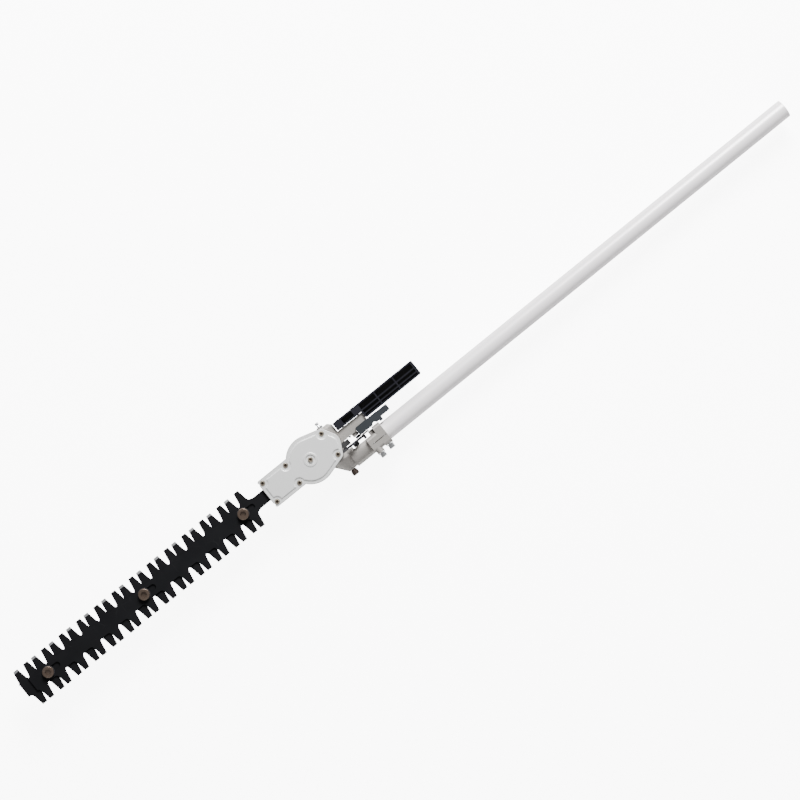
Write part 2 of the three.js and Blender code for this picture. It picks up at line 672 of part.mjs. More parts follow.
function coverScrewAt([x, y], index) {
  const seat = coverZ + cover.rim - coverScrew.seat + gap;
  const solid = cut(
    join(
      rod('z', coverScrew.head, seat, seat + 2.4, {}, 14),
      rod('z', coverScrew.shank, screwTip(x, y), seat + 0.1, {}, 10),
    ),
    rod('z', coverScrew.socket, seat + 1, seat + 6, {}, 6),
  );
  const mesh = make(`cover_screw_${index + 1}`, solid, colours.bronze, 0.45, 0.8);
  mesh.position.set(x, y, 0);
  return mesh;
}

function crankAxle() {
  const solid = cut(
    rod('z', axleRadius, caseFloor.outer, coverZ - gap, {}, 16),
    rod('z', 2 + gap, coverZ - 8, coverZ + 5, {}, 12),
  );
  const mesh = make('crank_axle', solid, colours.steel, 0.35, 0.9);
  mesh.position.x = crankX;
  return mesh;
}

function crankScrew() {
  const seat = coverZ + cover.rim + 1.4 + gap;
  const solid = cut(
    join(rod('z', 3.6, seat, seat + 2.2, {}, 16), rod('z', 2, coverZ - 7, seat + 0.1, {}, 12)),
    rod('z', 1.8, seat + 0.8, seat + 6, {}, 6),
  );
  const mesh = make('crank_screw', solid, colours.bronze, 0.45, 0.8);
  mesh.position.x = crankX;
  return mesh;
}

function greaseNipple() {
  const solid = join(
    rod('y', 2.6, 17, barrel.top + gap + 0.1, {}, 12),
    rod('y', 5.2, barrel.top + gap, barrel.top + 3, {}, 6),
    turned([
      [0, barrel.top + 2.9],
      [2.7, barrel.top + 2.9],
      [1.7, barrel.top + 5.6],
      [2.9, barrel.top + 7.6],
      [2.7, barrel.top + 9.2],
      [1.4, barrel.top + 10.2],
      [0, barrel.top + 10.2],
    ], 14),
  );
  return make('grease_nipple', solid, colours.zinc, 0.25, 0.9);
}

function idlerBearing() {
  const bottom = -bevel.radius - 6.6;
  const solid = ring('z', idlerBearingRadius, idlerRadius + gap, bottom, bottom + 3.8, {});
  return make('idler_bearing', solid, colours.steel, 0.3, 0.9);
}

function idlerBush() {
  const bushBottom = coverZ + 0.1;
  const solid = ring('z', idlerBushRadius, idlerRadius + gap, bushBottom, bushBottom + cover.rim, {}, 18);
  return make('idler_bush', solid, colours.brass, 0.4, 0.8);
}

function pivotClip() {
  const y0 = clip.y + gap;
  const whole = ring('y', clip.outer, clip.groove + gap, y0, y0 + clip.thick, {});
  const mouth = box(-clip.outer - 3, 0, y0 - 1, y0 + 3, -4, 4);
  return make('pivot_clip', cut(whole, mouth), colours.blackSteel, 0.4, 0.8);
}

function pivotBoot() {
  const whole = ring('y', boot.outer, barrel.radius - 0.5, boot.bottom, boot.top - 0.2, {}, fine);
  const keep = box(-6.6, 40, -40, 0, -30, boot.upTo);
  return make('pivot_boot', whole.intersect(keep), colours.rubber, 0.75, 0);
}

// ---------- handle, latch ----------
function handleBody() {
  const h = handle;
  const w = h.wall;
  const outer = join(
    slab(roundedShape(h.from, h.to, h.rootBottom, h.top, 1.6), -h.half, h.half, 3),
    slab(roundedShape(arm.to + gap, h.to, h.bottom, h.top, 2.4), -h.half, h.half, 3),
  );
  const cell = (x0, x1, y0, y1) => box(x0, x1, y0, y1, -h.half + w, h.half + cutThrough);
  const columns = [arm.to + gap, ...handleRibs, h.to];
  const rows = [
    [h.bottom + w, 1.6],
    [3.4, 7.6],
    [9.4, h.top - w],
  ];
  const cells = [];
  for (let i = 0; i + 1 < columns.length; i += 1) {
    const x0 = columns[i] + (i === 0 ? w : 0.9);
    const x1 = columns[i + 1] - (i + 2 === columns.length ? 3.6 : 0.9);
    rows.forEach(([y0, y1]) => cells.push(cell(x0, x1, y0, y1)));
  }
  const root = [h.from, ...handleScrews, arm.to + gap];
  for (let i = 0; i + 1 < root.length; i += 1) {
    const x0 = root[i] + (i === 0 ? w : 4.2);
    const x1 = root[i + 1] - (i + 2 === root.length ? 0 : 4.2);
    if (x1 - x0 > 2) cells.push(cell(x0, x1, 9.4, h.top - w));
  }
  const holes = handleScrews.flatMap((x) => [
    rod('y', 1.9 + gap, 0, 40, { x }, 12),
    rod('y', 3.8 + gap, h.top - 1.9, 40, { x }, 14),
  ]);
  return make('handle', cut(outer, ...cells, ...holes), colours.blackPlastic, 0.4, 0);
}

function handleScrew(index) {
  const solid = cut(
    join(
      rod('y', 3.8, handle.top - 1.6, handle.top + 0.6, {}, 14),
      rod('y', 1.9, arm.top - 9, handle.top - 1.5, {}, 10),
    ),
    rod('y', 1.6, handle.top - 0.8, handle.top + 5, {}, 6),
  );
  const mesh = make(`handle_screw_${index + 1}`, solid, colours.zinc, 0.35, 0.9);
  mesh.position.x = handleScrews[index];
  return mesh;
}

function latchBody() {
  const l = latch;
  const t = latchTab;
  const shape = new THREE.Shape();
  shape.moveTo(l.from, l.bottom);
  shape.lineTo(latchFoot.from, l.bottom);
  shape.lineTo(latchFoot.from, latchFoot.bottom);
  shape.lineTo(l.to, latchFoot.bottom);
  shape.lineTo(l.to, t.bottom);
  shape.lineTo(t.to - t.round, t.bottom);
  shape.quadraticCurveTo(t.to, t.bottom, t.to, t.bottom + t.round);
  shape.lineTo(t.to, t.top - t.round);
  shape.quadraticCurveTo(t.to, t.top, t.to - t.round, t.top);
  shape.lineTo(l.to - 1.6, t.top);
  shape.lineTo(l.to - 2.2, l.top);
  shape.lineTo(l.from + 2.5, l.top);
  shape.quadraticCurveTo(l.from, l.top, l.from, l.top - 2.5);
  shape.closePath();
  const arch = rod('z', latchArch.radius, -20, 20, { x: latchArch.x, y: latchArch.y }, 16);
  const channelEnd = arm.to + latchTravel + 3;
  const channelHalf = arm.half + gap;
  const channel = box(l.from - 5, channelEnd, arm.bottom - gap, 0, -channelHalf, channelHalf);
  const springRoom = rod('x', spring.radius + 0.7, l.from - 5, spring.to + 1.2, { y: spring.y }, 12);
  const n = latchNose;
  const noseBlock = box(n.from, l.from + 1, n.bottom, n.top, -n.half, n.half);
  const block = join(slab(shape, -l.half, l.half, 3), noseBlock);
  const body = cut(block, arch, channel, springRoom);
  return make('latch', body, colours.slate, 0.6, 0);
}

function latchPawl() {
  const p = pawl;
  const top = latch.bottom - gap;
  const solid = join(
    box(p.inner, p.outer, p.bottom, top, -p.half, p.half),
    box(p.outer - 0.1, p.webTo, p.webBottom, top, -p.half, p.half),
    box(p.tip, p.inner + 0.1, plateBottom, plateTop, -plate.notchHalf + gap, plate.notchHalf - gap),
  );
  return make('latch_pawl', solid, colours.blackSteel, 0.4, 0.8);
}

function latchSpring() {
  const points = [[0.9, spring.from]];
  const step = (spring.to - spring.from) / spring.coils;
  for (let i = 0; i < spring.coils; i += 1) {
    const x = spring.from + i * step;
    points.push([spring.radius - spring.wire, x], [spring.radius, x + step / 2]);
  }
  points.push([spring.radius - spring.wire, spring.to], [0.9, spring.to], [0.9, spring.from]);
  const profile = points.map(([r, x]) => new THREE.Vector2(r, x));
  const geometry = new THREE.LatheGeometry(profile, 10);
  geometry.rotateZ(-Math.PI / 2);
  geometry.translate(0, spring.y, 0);
  return make('latch_spring', toSolid(geometry), colours.steel, 0.4, 0.9);
}

function springPinBar() {
  const solid = rod('z', springPin.radius, -6.4, 6.4, { x: springPin.x, y: spring.y + 1.6 }, 12);
  return make('spring_pin', solid, colours.steel, 0.4, 0.9);
}

// ---------- blades ----------
function bladeOutline(first, stagger, tangEnd) {
  const t = tooth;
  const foot = t.tip + t.slope * (t.height - t.spine);
  const shape = new THREE.Shape();
  const left = first - bladeEnd;
  shape.moveTo(left, -t.spine);
  // one row of teeth at a time, lower edge to the right and upper edge back to the left
  const row = (side, centres) => {
    const way = side < 0 ? 1 : -1;
    centres.forEach((x) => {
      const dy = t.fillet;
      const rise = side * (t.spine + dy);
      const near = foot - t.slope * dy;
      shape.lineTo(x - way * (foot + t.fillet * 0.8), side * t.spine);
      shape.quadraticCurveTo(x - way * foot, side * t.spine, x - way * near, rise);
      shape.lineTo(x - way * t.tip, side * t.height);
      shape.lineTo(x + way * t.tip, side * t.height);
      shape.lineTo(x + way * near, rise);
      const far = foot + t.fillet * 0.8;
      shape.quadraticCurveTo(x + way * foot, side * t.spine, x + way * far, side * t.spine);
    });
  };
  const centres = Array.from({ length: toothCount }, (_, i) => first + i * pitch);
  const last = centres[toothCount - 1];
  row(-1, centres.map((x) => x + stagger));
  shape.lineTo(last + bladeEnd + stagger + 4, -tangHalf);
  shape.lineTo(tangEnd, -tangHalf);
  shape.lineTo(tangEnd, tangHalf);
  shape.lineTo(last + bladeEnd + 4, tangHalf);
  row(1, centres.map((x) => x - stagger).reverse());
  shape.lineTo(left, t.spine);
  shape.closePath();
  return shape;
}

function bladeSlots(side, z0, z1) {
  return bladeBolts.map((x) => {
    const middle = x + side * throwRadius;
    return stadium(middle - throwRadius - slotHalf, middle + throwRadius + slotHalf, slotHalf, z0, z1, 12);
  });
}

// the ring that the crank pin runs in, and its window
function yokePlate(middle, z0, z1) {
  const reach = throwRadius + yoke.window;
  const outerReach = reach + yoke.wall;
  const outer = stadium(middle - outerReach, middle + outerReach, yoke.window + yoke.wall, z0, z1);
  const inner = stadium(middle - reach, middle + reach, yoke.window, z0 - 1, z1 + 1);
  return { outer, inner };
}

function upperBlade() {
  const z0 = upperBladeZ;
  const z1 = z0 + bladeThick;
  const middle = crankX + throwRadius;
  const { outer, inner } = yokePlate(middle, z0, z1);
  const tangEnd = middle - throwRadius - yoke.window;
  const plateBody = slab(bladeOutline(firstTooth.upper, 0, tangEnd), z0, z1, 2);
  const solid = cut(join(plateBody, outer), inner, ...bladeSlots(1, z0 - 1, z1 + 1));
  return make('upper_blade', solid, colours.bladeBlack, 0.4, 0.6);
}

function lowerBlade() {
  const z0 = lowerBladeZ;
  const z1 = z0 + bladeThick;
  const plateBody = slab(bladeOutline(firstTooth.lower, lowerStagger, -78), z0, z1, 2);
  const holes = rivets.map((x) => rod('z', rivetRadius + gap, z0 - 1, z1 + 1, { x }, 12));
  const solid = cut(plateBody, ...holes, ...bladeSlots(-1, z0 - 1, z1 + 1));
  return make('lower_blade', solid, colours.bladeBlack, 0.4, 0.6);
}

function lowerRod() {
  const low = { z0: rodLow.z, z1: rodLow.z + rodLow.thick };
  const high = { z0: rodHigh.z, z1: rodHigh.z + rodHigh.thick };
  const middle = crankX - throwRadius;
  const { outer, inner } = yokePlate(middle, low.z0, low.z1);
  const bodies = join(
    outer,
    box(-80.2, middle - throwRadius - yoke.window, -8, 8, low.z0, low.z1),
    box(-80.2, -77.9, -8, 8, low.z0, high.z1),
    box(-94, -77.9, -8, 8, high.z0, high.z1),
  );
  const holes = rivets.map((x) => rod('z', rivetRadius + gap, 0, 30, { x }, 12));
  return make('lower_rod', cut(bodies, inner, ...holes), colours.steel, 0.4, 0.8);
}

function rodRivet(index) {
  const mesh = make(
    `rod_rivet_${index + 1}`,
    rod('z', rivetRadius, rodHigh.z + 0.1, lowerBladeZ + bladeThick, {}, 12),
    colours.steel,
    0.4,
    0.8,
  );
  mesh.position.x = rivets[index];
  return mesh;
}

function guideBarPlate() {
  const half = guideBar.width / 2;
  const shape = roundedShape(guideBar.to, guideBar.from, -half, half, 3);
  const holes = bladeBolts.map((x) => rod('z', bladeBolt.shank + gap, 0, 30, { x }, 12));
  const threads = guideScrewPlaces.map((x) => rod('z', guideScrewShank + gap, 0, 30, { x }, 12));
  const solid = cut(slab(shape, guideBar.bottom, guideBar.top, 3), ...holes, ...threads);
  return make('guide_bar', solid, colours.blackSteel, 0.5, 0.7);
}

function guideScrew(index) {
  const { radius, height, sunk, socket: hex, socketDepth } = guideScrewHead;
  const z0 = caseFloor.outer + sunk;
  const neckZ = z0 + height;
  const solid = cut(
    join(rod('z', radius, z0, neckZ, {}, 14), rod('z', guideScrewShank, neckZ - 0.1, guideBar.top, {}, 10)),
    rod('z', hex, z0 - cutThrough, z0 + socketDepth, {}, 6),
  );
  const mesh = make(`guide_screw_${index + 1}`, solid, colours.blackSteel, 0.4, 0.8);
  mesh.position.x = guideScrewPlaces[index];
  return mesh;
}

const washerZ = upperBladeZ + bladeThick + gap;
const washerThick = 1.2;

function bladeWasher(index) {
  const bore = bladeBolt.collar + gap;
  const solid = ring('z', bladeBolt.washer, bore, washerZ, washerZ + washerThick, {}, medium);
  const mesh = make(`blade_washer_${index + 1}`, solid, colours.blackSteel, 0.5, 0.7);
  mesh.position.x = bladeBolts[index];
  return mesh;
}

function bladeBoltAt(index) {
  const headZ = washerZ + washerThick + gap;
  const solid = cut(
    join(
      rod('z', bladeBolt.head, headZ, headZ + bladeBolt.headHeight, {}, 24),
      rod('z', bladeBolt.collar, guideBar.top + gap, headZ + 0.1, {}, 16),
      rod('z', bladeBolt.shank, guideBar.bottom - 7.6, guideBar.top + gap + 0.1, {}, 12),
    ),
    rod('z', bladeBolt.socket, headZ + 1.2, headZ + 9, {}, 6),
  );
  const mesh = make(`blade_bolt_${index + 1}`, solid, colours.bronze, 0.4, 0.8);
  mesh.position.x = bladeBolts[index];
  return mesh;
}

function bladeNut(index) {
  const z1 = guideBar.bottom - gap;
  const hexagon = rod('z', 5.6, z1 - 5, z1, {}, 6);
  const solid = cut(hexagon, rod('z', bladeBolt.shank + gap, 0, 30, {}, 12));
  const mesh = make(`blade_nut_${index + 1}`, solid, colours.zinc, 0.4, 0.9);
  mesh.position.x = bladeBolts[index];
  return mesh;
}

// ---------- assembly ----------
const tubeSide = new THREE.Group();
tubeSide.add(shaftTube(), shaftCase(), caseBearing(), casePlug(), indexPlate());
tubeSide.add(...bushPlaces.map((_, i) => shaftBush(i)));
tubeSide.add(...pinchBolts.map(pinchBolt));
tubeSide.add(indexPlateBolt(0), indexPlateBolt(1));

const driveTrain = new THREE.Group();
driveTrain.add(driveShaftBar(), drivePinion(), pivotShaft(), pivotGearLower(), pivotGearUpper());
driveTrain.add(idlerShaft(), idlerBevel(), crankGear());

const head = new THREE.Group();
head.add(headCase(), headCover(), coverGasket(), crankAxle(), crankScrew(), greaseNipple());
head.add(idlerBearing(), idlerBush(), pivotBearing(), pivotClip(), pivotBoot(), guideBarPlate());
head.add(...screwPlaces.map(coverScrewAt));
head.add(...guideScrewPlaces.map((_, i) => guideScrew(i)));
head.add(handleBody(), handleScrew(0), handleScrew(1), springPinBar(), latchSpring());

const slider = new THREE.Group();
slider.add(latchBody(), latchPawl());

const cutter = new THREE.Group();
cutter.add(upperBlade(), lowerBlade(), lowerRod(), rodRivet(0), rodRivet(1));
bladeBolts.forEach((_, i) => cutter.add(bladeBoltAt(i), bladeWasher(i), bladeNut(i)));

const trimmer = new THREE.Group();
trimmer.add(tubeSide, driveTrain, head, slider, cutter);
trimmer.updateMatrixWorld(true);
const bounds = new THREE.Box3().setFromObject(trimmer, true);
const middle = bounds.getCenter(new THREE.Vector3());
trimmer.position.set(-middle.x, -middle.y, -bounds.min.z);
trimmer.updateMatrixWorld(true);

export default trimmer;
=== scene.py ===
import math
import bpy
from mathutils import Matrix, Vector


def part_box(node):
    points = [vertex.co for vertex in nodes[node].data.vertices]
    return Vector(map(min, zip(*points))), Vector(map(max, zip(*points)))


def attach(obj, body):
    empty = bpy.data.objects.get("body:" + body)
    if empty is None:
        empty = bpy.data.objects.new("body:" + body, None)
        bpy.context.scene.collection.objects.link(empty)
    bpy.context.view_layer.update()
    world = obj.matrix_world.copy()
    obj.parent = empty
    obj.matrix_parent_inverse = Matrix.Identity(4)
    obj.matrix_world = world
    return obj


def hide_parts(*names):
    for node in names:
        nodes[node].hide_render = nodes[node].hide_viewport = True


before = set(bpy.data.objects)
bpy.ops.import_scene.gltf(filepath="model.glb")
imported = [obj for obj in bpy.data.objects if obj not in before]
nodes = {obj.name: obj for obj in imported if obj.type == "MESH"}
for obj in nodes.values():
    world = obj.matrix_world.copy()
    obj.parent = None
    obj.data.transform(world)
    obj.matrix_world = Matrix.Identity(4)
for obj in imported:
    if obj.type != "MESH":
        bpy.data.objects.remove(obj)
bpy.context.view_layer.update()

mm = 0.001
for loaded in list(bpy.context.selected_objects):
    loaded.select_set(False)

# the tilt axis: everything is placed from it, in millimetres
tiltX = sum(corner.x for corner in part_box("grease_nipple")) / 2
bladeY = sum(corner.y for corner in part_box("guide_bar")) / 2
axisZ = sum(corner.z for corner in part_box("shaft_tube")) / 2
tiltPoint = Vector((tiltX, bladeY, axisZ))
tubeY = (sum(corner.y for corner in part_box("shaft_tube")) / 2 - bladeY) / mm
crankX = (sum(corner.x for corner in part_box("crank_axle")) / 2 - tiltX) / mm


def at(x, y, z):
    return tiltPoint + Vector((x, y, z)) * mm


def heightOf(node, top=True):
    return (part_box(node)[1 if top else 0].z - axisZ) / mm


# shader groups
def makeGroup(name, inputs, outputs):
    group = bpy.data.node_groups.new(name, "ShaderNodeTree")
    for label, kind, value in inputs:
        socket = group.interface.new_socket(label, in_out="INPUT", socket_type=kind)
        if value is not None:
            socket.default_value = value
    for label, kind in outputs:
        group.interface.new_socket(label, in_out="OUTPUT", socket_type=kind)
    return group, group.nodes.new("NodeGroupInput"), group.nodes.new("NodeGroupOutput")


def makeGrainGroup():
    # fine grain for roughness and bump, and broad clouds for the tint
    group, entry, leave = makeGroup(
        "metalGrain",
        [("Place", "NodeSocketVector", None), ("Stretch", "NodeSocketVector", (1, 1, 1)),
         ("Grain Scale", "NodeSocketFloat", 900.0), ("Cloud Scale", "NodeSocketFloat", 35.0)],
        [("Grain", "NodeSocketFloat"), ("Clouds", "NodeSocketFloat")])
    stretch = group.nodes.new("ShaderNodeVectorMath")
    stretch.operation = "MULTIPLY"
    fine = group.nodes.new("ShaderNodeTexNoise")
    fine.inputs["Detail"].default_value = 4
    fine.inputs["Roughness"].default_value = 0.6
    broad = group.nodes.new("ShaderNodeTexNoise")
    broad.inputs["Detail"].default_value = 3
    link = group.links.new
    link(entry.outputs["Place"], stretch.inputs[0])
    link(entry.outputs["Stretch"], stretch.inputs[1])
    link(stretch.outputs[0], fine.inputs["Vector"])
    link(entry.outputs["Place"], broad.inputs["Vector"])
    link(entry.outputs["Grain Scale"], fine.inputs["Scale"])
    link(entry.outputs["Cloud Scale"], broad.inputs["Scale"])
    link(fine.outputs["Fac"], leave.inputs["Grain"])
    link(broad.outputs["Fac"], leave.inputs["Clouds"])
    return group


def makeScuffGroup():
    # sparse thin handling marks
    group, entry, leave = makeGroup(
        "handlingScuffs",
        [("Place", "NodeSocketVector", None), ("Scale", "NodeSocketFloat", 60.0),
         ("Amount", "NodeSocketFloat", 0.3)],
        [("Mask", "NodeSocketFloat")])
    warp = group.nodes.new("ShaderNodeTexNoise")
    warp.inputs["Scale"].default_value = 18
    mixPlace = group.nodes.new("ShaderNodeMix")
    mixPlace.data_type = "VECTOR"
    mixPlace.inputs["Factor"].default_value = 0.04
    cells = group.nodes.new("ShaderNodeTexVoronoi")
    cells.feature = "DISTANCE_TO_EDGE"
    thin = group.nodes.new("ShaderNodeMapRange")
    thin.inputs["From Min"].default_value = 0.0
    thin.inputs["From Max"].default_value = 0.03
    thin.inputs["To Min"].default_value = 1.0
    thin.inputs["To Max"].default_value = 0.0
    patches = group.nodes.new("ShaderNodeTexNoise")
    patches.inputs["Scale"].default_value = 40
    only = group.nodes.new("ShaderNodeMapRange")
    only.inputs["From Min"].default_value = 0.52
    only.inputs["From Max"].default_value = 0.68
    both = group.nodes.new("ShaderNodeMath")
    both.operation = "MULTIPLY"
    scaled = group.nodes.new("ShaderNodeMath")
    scaled.operation = "MULTIPLY"
    link = group.links.new
    link(entry.outputs["Place"], warp.inputs["Vector"])
    link(entry.outputs["Place"], mixPlace.inputs[4])
    link(warp.outputs["Color"], mixPlace.inputs[5])
    link(mixPlace.outputs[1], cells.inputs["Vector"])
    link(entry.outputs["Scale"], cells.inputs["Scale"])
    link(cells.outputs["Distance"], thin.inputs["Value"])
    link(entry.outputs["Place"], patches.inputs["Vector"])
    link(patches.outputs["Fac"], only.inputs["Value"])
    link(thin.outputs["Result"], both.inputs[0])
    link(only.outputs["Result"], both.inputs[1])
    link(both.outputs[0], scaled.inputs[0])
    link(entry.outputs["Amount"], scaled.inputs[1])
    link(scaled.outputs[0], leave.inputs["Mask"])
    return group


metalGrain = makeGrainGroup()
handlingScuffs = makeScuffGroup()

finishes = {
    "paleTube": dict(colour=(0.97, 0.93, 0.945), tint=(0.94, 0.905, 0.915), metal=0.12, rough=0.32,
                     spread=0.08, stretch=(0.02, 1, 1), grain=2600, bump=0.03, scuffs=0.02),
    "satinCover": dict(colour=(0.87, 0.875, 0.87), tint=(0.835, 0.84, 0.835), metal=0.40, rough=0.36,
                       spread=0.12, grain=1500, bump=0.10, scuffs=0.10),
    "castGrey": dict(colour=(0.40, 0.380, 0.357), tint=(0.315, 0.30, 0.283), metal=0.55, rough=0.45,
                     spread=0.18, grain=1100, bump=0.22, scuffs=0.10),
    # painted shade: a dark finish for the cover rim's sides and rounded outer edge
    "rimPaintedShade": dict(colour=(0.15, 0.14, 0.13), tint=(0.11, 0.10, 0.095), metal=0.5, rough=0.45, spread=0.16,
                    grain=1300, bump=0.12, scuffs=0.05),
    "bladeBlack": dict(colour=(0.005, 0.005, 0.006), tint=(0.010, 0.010, 0.011), metal=0.0, rough=0.5,
                       spread=0.16, stretch=(1, 0.25, 1), grain=1200, bump=0.08, scuffs=0.01, shine=0.05),
    "groundEdge": dict(colour=(0.72, 0.73, 0.75), tint=(0.60, 0.61, 0.63), metal=0.9, rough=0.30, spread=0.14,
                       stretch=(1, 0.06, 1), grain=2200, bump=0.12, scuffs=0.0),
    "blackSteel": dict(colour=(0.022, 0.022, 0.026), tint=(0.035, 0.035, 0.038), metal=0.0, rough=0.42,
                       spread=0.16, grain=1300, bump=0.10, scuffs=0.05, shine=0.3),
    "bronzePlate": dict(colour=(0.17, 0.125, 0.098), tint=(0.105, 0.078, 0.062), metal=0.8, rough=0.34,
                        spread=0.18, grain=1500, bump=0.08, scuffs=0.12),
    "creamPlate": dict(colour=(0.55, 0.49, 0.40), tint=(0.40, 0.35, 0.28), metal=0.85, rough=0.30,
                       spread=0.14, grain=1500, bump=0.06, scuffs=0.10),
    "brightZinc": dict(colour=(0.80, 0.81, 0.82), tint=(0.68, 0.70, 0.72), metal=0.95, rough=0.22,
                       spread=0.16, grain=1500, bump=0.06, scuffs=0.10),
    "bareSteel": dict(colour=(0.52, 0.53, 0.55), tint=(0.42, 0.43, 0.45), metal=0.95, rough=0.30, spread=0.14,
                      stretch=(0.1, 1, 1), grain=1800, bump=0.06, scuffs=0.05),
    # the case plug's own brown, also used as painted shade inside screw sockets and seats
    "plugBrown": dict(colour=(0.045, 0.032, 0.027), tint=(0.075, 0.055, 0.045), metal=0.6, rough=0.38,
                      spread=0.2, grain=1300, bump=0.12, scuffs=0.10),
    "glossBlack": dict(colour=(0.009, 0.009, 0.013), tint=(0.014, 0.014, 0.019), metal=0.0, rough=0.26,
                       spread=0.05, grain=1000, bump=0.015, scuffs=0.01, shine=0.4),
    "slatePlastic": dict(colour=(0.017, 0.020, 0.024), tint=(0.023, 0.027, 0.032), metal=0.0, rough=0.52,
                         spread=0.14, grain=1700, bump=0.14, scuffs=0.03, shine=0.25),
    "softRubber": dict(colour=(0.013, 0.013, 0.014), tint=(0.022, 0.022, 0.023), metal=0.0, rough=0.62,
                       spread=0.16, grain=900, bump=0.14, scuffs=0.0),
    "greyGasket": dict(colour=(0.075, 0.078, 0.082), tint=(0.10, 0.10, 0.105), metal=0.0, rough=0.8,
                       spread=0.1, grain=1600, bump=0.20, scuffs=0.0),
    "bronzeBush": dict(colour=(0.42, 0.29, 0.13), tint=(0.33, 0.22, 0.10), metal=0.9, rough=0.34, spread=0.14,
                       grain=1500, bump=0.06, scuffs=0.05),
}


def makeFinish(name, values):
    material = bpy.data.materials.new(name)
    material.use_nodes = True
    tree = material.node_tree
    shader = tree.nodes["Principled BSDF"]
    shader.inputs["Metallic"].default_value = values["metal"]
    shader.inputs["Specular IOR Level"].default_value = values.get("shine", 0.5)
    place = tree.nodes.new("ShaderNodeTexCoord")
    grain = tree.nodes.new("ShaderNodeGroup")
    grain.node_tree = metalGrain
    grain.inputs["Stretch"].default_value = values.get("stretch", (1, 1, 1))
    grain.inputs["Grain Scale"].default_value = values["grain"]
    tint = tree.nodes.new("ShaderNodeMix")
    tint.data_type = "RGBA"
    tint.inputs[6].default_value = (*values["colour"], 1)
    tint.inputs[7].default_value = (*values["tint"], 1)
    rough = tree.nodes.new("ShaderNodeMapRange")
    rough.inputs["From Min"].default_value = 0.3
    rough.inputs["From Max"].default_value = 0.7
    rough.inputs["To Min"].default_value = values["rough"] - values["spread"] / 2
    rough.inputs["To Max"].default_value = values["rough"] + values["spread"] / 2
    bump = tree.nodes.new("ShaderNodeBump")
    bump.inputs["Strength"].default_value = values["bump"]
    bump.inputs["Distance"].default_value = 0.0003
    link = tree.links.new
    link(place.outputs["Object"], grain.inputs["Place"])
    link(grain.outputs["Clouds"], tint.inputs["Factor"])
    link(grain.outputs["Grain"], rough.inputs["Value"])
    link(grain.outputs["Grain"], bump.inputs["Height"])
    link(bump.outputs["Normal"], shader.inputs["Normal"])
    link(rough.outputs["Result"], shader.inputs["Roughness"])
    colourEnd = tint.outputs[2]
    if values["scuffs"]:
        scuffs = tree.nodes.new("ShaderNodeGroup")
        scuffs.node_tree = handlingScuffs
        scuffs.inputs["Amount"].default_value = values["scuffs"]
        worn = tree.nodes.new("ShaderNodeMix")
        worn.data_type = "RGBA"
        worn.inputs[7].default_value = (0.45, 0.45, 0.46, 1)
        link(place.outputs["Object"], scuffs.inputs["Place"])
        link(scuffs.outputs["Mask"], worn.inputs["Factor"])
        link(colourEnd, worn.inputs[6])
        colourEnd = worn.outputs[2]
    link(colourEnd, shader.inputs["Base Color"])
    return material


materials = {name: makeFinish(name, values) for name, values in finishes.items()}
print("materials made")


# modelling helpers
def onlySelect(piece):
    for other in list(bpy.context.selected_objects):
        other.select_set(False)
    piece.hide_viewport = False
    piece.select_set(True)
    bpy.context.view_layer.objects.active = piece


def settle(piece):
    # leaves the piece at the origin, with its place in its mesh
    onlySelect(piece)
    bpy.ops.object.transform_apply(location=True, rotation=True, scale=True)
    return piece


def applyModifier(piece, kind, **settings):
    onlySelect(piece)
    modifier = piece.modifiers.new(kind.lower(), kind)
    for key, value in settings.items():
        setattr(modifier, key, value)
    bpy.ops.object.modifier_apply(modifier=modifier.name)
    return piece


def roundEdges(piece, width, segments=3, angle=32, clamp=True):
    applyModifier(piece, "BEVEL", width=width * mm, segments=segments, limit_method="ANGLE",
                  angle_limit=math.radians(angle), use_clamp_overlap=clamp)
    return piece


def smooth(piece, angle=28):
    onlySelect(piece)
    bpy.ops.object.shade_smooth_by_angle(angle=math.radians(angle))
    return applyModifier(piece, "WEIGHTED_NORMAL", mode="FACE_AREA", weight=50, keep_sharp=True)


def dress(piece, name, body, finish, slotName, *standsFor):
    piece.name = name
    piece.data.name = name
    piece.data.materials.clear()
    for each in finish if isinstance(finish, (list, tuple)) else [finish]:
        piece.data.materials.append(materials[each])
    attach(piece, body)
    if standsFor:
        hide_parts(*standsFor)
    return piece


def paintWhere(piece, index, wanted):
    # gives the faces that are wanted another of the piece's finishes
    for face in piece.data.polygons:
        if wanted(face):
            face.material_index = index
    return piece


# a key socket's faces that get painted shade: how far past its radius and how far below the head's top they
# are looked for
socketShade = dict(margin=0.03, below=0.1)


# paints the faces inside a key socket with the dark finish, as painted shade
def paintSocketShade(piece, x, y, radius, top):
    middle, level = at(x, y, 0), at(0, 0, top - socketShade["below"]).z
    reach = (radius + socketShade["margin"]) * mm
    return paintWhere(piece, 1, lambda face: face.center.z < level and math.hypot(
        face.center.x - middle.x, face.center.y - middle.y) < reach)


def drum(radius, low, high, x, y, vertices=64, axis="Z"):
    # a cylinder between two places on its axis, in millimetres from the tilt axis
    middle = (low + high) / 2
    spot = {"Z": (x, y, middle), "Y": (x, middle, y), "X": (middle, x, y)}[axis]
    turn = {"Z": (0, 0, 0), "Y": (-math.pi / 2, 0, 0), "X": (0, math.pi / 2, 0)}[axis]
    bpy.ops.mesh.primitive_cylinder_add(vertices=vertices, radius=radius * mm, depth=(high - low) * mm,
                                        location=at(*spot), rotation=turn)
    return settle(bpy.context.object)


def block(x0, x1, y0, y1, z0, z1):
    bpy.ops.mesh.primitive_cube_add(size=1, location=at((x0 + x1) / 2, (y0 + y1) / 2, (z0 + z1) / 2),
                                    scale=((x1 - x0) * mm, (y1 - y0) * mm, (z1 - z0) * mm))
    return settle(bpy.context.object)


def joinPieces(pieces):
    onlySelect(pieces[0])
    for piece in pieces:
        piece.select_set(True)
    bpy.ops.object.join()
    return bpy.context.object


def combine(piece, others, operation):
    for other in others:
        applyModifier(piece, "BOOLEAN", operation=operation, object=other, solver="EXACT")
        bpy.data.objects.remove(other)
    return piece


def cutOut(piece, *cutters):
    return combine(piece, cutters, "DIFFERENCE")


